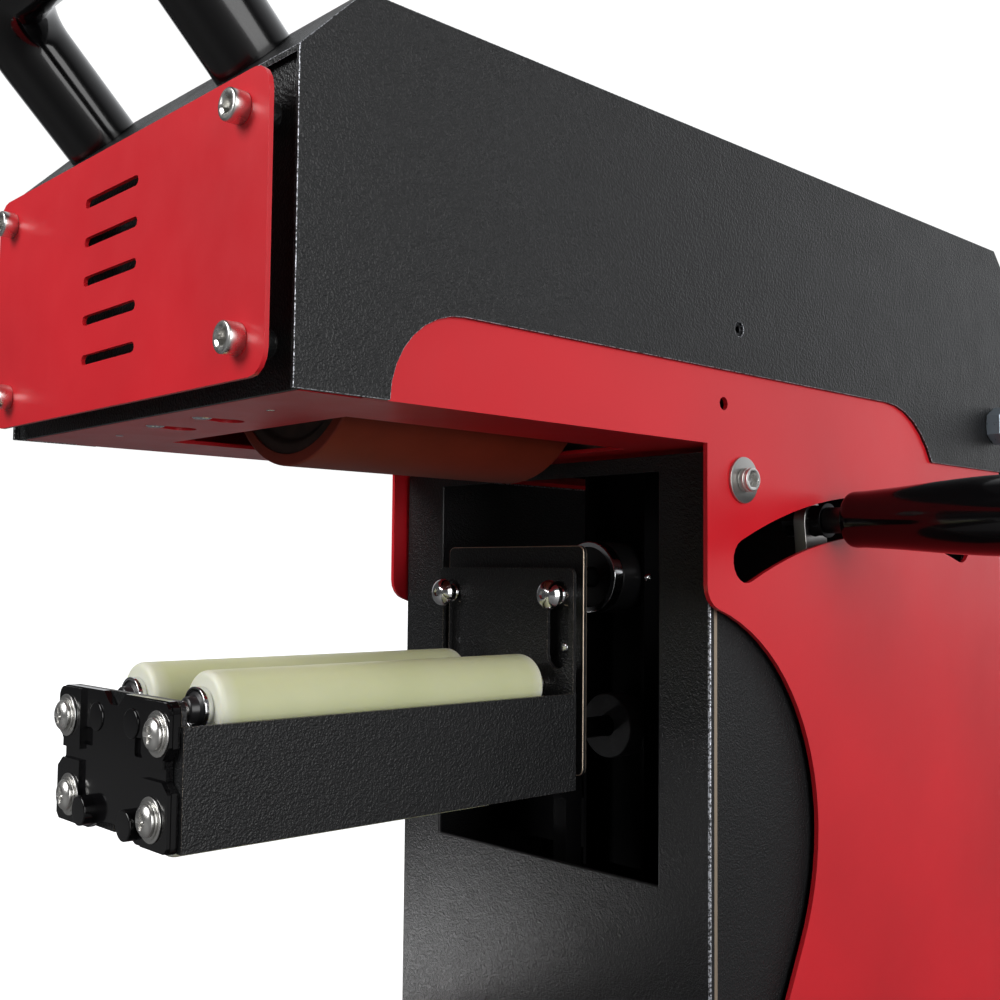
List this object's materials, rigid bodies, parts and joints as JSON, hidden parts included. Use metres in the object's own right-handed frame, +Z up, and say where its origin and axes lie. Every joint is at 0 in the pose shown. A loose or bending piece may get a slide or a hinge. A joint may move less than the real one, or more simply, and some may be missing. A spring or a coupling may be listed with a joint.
{
  "type": "heat press",
  "caption": "Bench press that rolls a cylindrical blank on a lever-lifted roller tray against a heated drum in an overhanging head.",
  "frame": {"origin": "middle of the base's underside, on the raised pad of the base plate", "axes": "+Z up, -Y to the front where the bottle goes in, +X to the side with the lever"},
  "size_m": [0.3203, 0.5044, 0.5205],
  "materials": {
    "black_paint": "black wrinkle powder coat",
    "red_paint": "red satin powder coat",
    "gloss_black": "glossy black moulding",
    "steel": "machined steel",
    "chrome": "plated fasteners",
    "drum_silicone": "reddish-brown silicone",
    "roller_silicone": "pale yellow-green silicone",
    "rubber": "black rubber",
    "black_plastic": "black moulded plastic",
    "display": "dark display window",
    "button": "pale grey keys"
  },
  "bodies": {
    "root": {"chassis": "black_paint", "side_panel_right": "red_paint", "side_panel_left": "red_paint", "base_plate": "black_paint", "foot_front_right": "rubber", "foot_front_left": "rubber", "foot_rear_right": "rubber", "foot_rear_left": "rubber", "rear_cover": "black_paint", "power_inlet": "black_plastic", "power_switch": "black_plastic", "arm_floor": "red_paint", "arm_front": "black_paint", "front_plate": "red_paint", "front_screw_lower_left": "chrome", "front_screw_upper_left": "chrome", "front_screw_lower_right": "chrome", "front_screw_upper_right": "chrome", "side_bolt_right": "steel", "side_bolt_left": "steel", "hood": "black_paint", "hood_bolt_right": "chrome", "hood_bolt_left": "chrome", "carry_handle": "gloss_black", "control_bezel": "black_plastic", "display_lens": "display", "drum_bracket_front": "steel", "drum_bracket_rear": "steel", "gear_motor": "steel", "guide_channel": "black_paint"},
    "lever": {"lever_shaft": "steel", "lift_cam": "steel", "lever_arm": "steel", "lever_stem": "steel", "lever_grip": "gloss_black"},
    "carriage": {"carriage_plate": "black_paint", "lift_spine": "steel", "clamp_bolt_left": "chrome", "clamp_bolt_right": "chrome"},
    "tray": {"tray": "black_paint", "end_cap": "gloss_black", "cap_screw_1": "chrome", "cap_screw_2": "chrome", "cap_screw_3": "chrome", "cap_screw_4": "chrome"},
    "left_roller": {"roller_left": "roller_silicone", "roller_axle_left": "steel"},
    "right_roller": {"roller_right": "roller_silicone", "roller_axle_right": "steel"},
    "bottom_roller": {"roller_lower": "roller_silicone", "roller_axle_lower": "steel"},
    "drum": {"drum_sleeve": "drum_silicone", "drum_core": "steel"},
    "upper_guide_wheel": {"guide_wheel_upper": "chrome"},
    "lower_guide_wheel": {"guide_wheel_lower": "rubber"},
    "follower": {"cam_follower": "steel"},
    "rocker": {"power_rocker": "black_plastic"},
    "set_button": {"button_set": "button"},
    "up_button": {"button_up": "button"},
    "down_button": {"button_down": "button"}
  },
  "joints": [
    {"name": "lever_swing", "type": "hinge", "parent": "root", "child": "lever", "pos_m": [0, 0.0812, 0.0494], "axis": [1, 0, 0], "range_deg": [-25, 15]},
    {"name": "carriage_lift", "type": "slide", "parent": "root", "child": "carriage", "axis": [0, 0, 1], "range_m": [-0.019, 0.0115]},
    {"name": "tray_adjust", "type": "slide", "parent": "carriage", "child": "tray", "axis": [0, 0, 1], "range_m": [0, 0.024]},
    {"name": "left_roller_spin", "type": "hinge", "parent": "tray", "child": "left_roller", "pos_m": [-0.023, -0.223, 0.243], "axis": [0, 1, 0], "continuous": true},
    {"name": "right_roller_spin", "type": "hinge", "parent": "tray", "child": "right_roller", "pos_m": [0.023, -0.223, 0.243], "axis": [0, 1, 0], "continuous": true},
    {"name": "bottom_roller_spin", "type": "hinge", "parent": "tray", "child": "bottom_roller", "pos_m": [0, -0.223, 0.203], "axis": [0, 1, 0], "continuous": true},
    {"name": "drum_spin", "type": "hinge", "parent": "root", "child": "drum", "pos_m": [0, -0.176, 0.3725], "axis": [0, 1, 0], "continuous": true},
    {"name": "upper_guide_wheel_spin", "type": "hinge", "parent": "carriage", "child": "upper_guide_wheel", "pos_m": [0, -0.011, 0.2875], "axis": [0, 1, 0], "continuous": true},
    {"name": "lower_guide_wheel_spin", "type": "hinge", "parent": "carriage", "child": "lower_guide_wheel", "pos_m": [0, -0.011, 0.218], "axis": [0, 1, 0], "continuous": true},
    {"name": "cam_follower_spin", "type": "hinge", "parent": "carriage", "child": "follower", "pos_m": [0.008, 0.0812, 0.1094], "axis": [1, 0, 0], "continuous": true},
    {"name": "power_rocker_tilt", "type": "hinge", "parent": "root", "child": "rocker", "pos_m": [0.032, 0.2001, 0.037], "axis": [0, 0, 1], "range_deg": [-12, 0]},
    {"name": "set_button_press", "type": "slide", "parent": "root", "child": "set_button", "axis": [0, 0, -1], "range_m": [0, 0.001]},
    {"name": "up_button_press", "type": "slide", "parent": "root", "child": "up_button", "axis": [0, 0, -1], "range_m": [0, 0.001]},
    {"name": "down_button_press", "type": "slide", "parent": "root", "child": "down_button", "axis": [0, 0, -1], "range_m": [0, 0.001]}
  ],
  "couplings": [
    {"joint": "carriage_lift", "follows": "lever_swing", "m_per_rad": 0.042972}
  ]
}
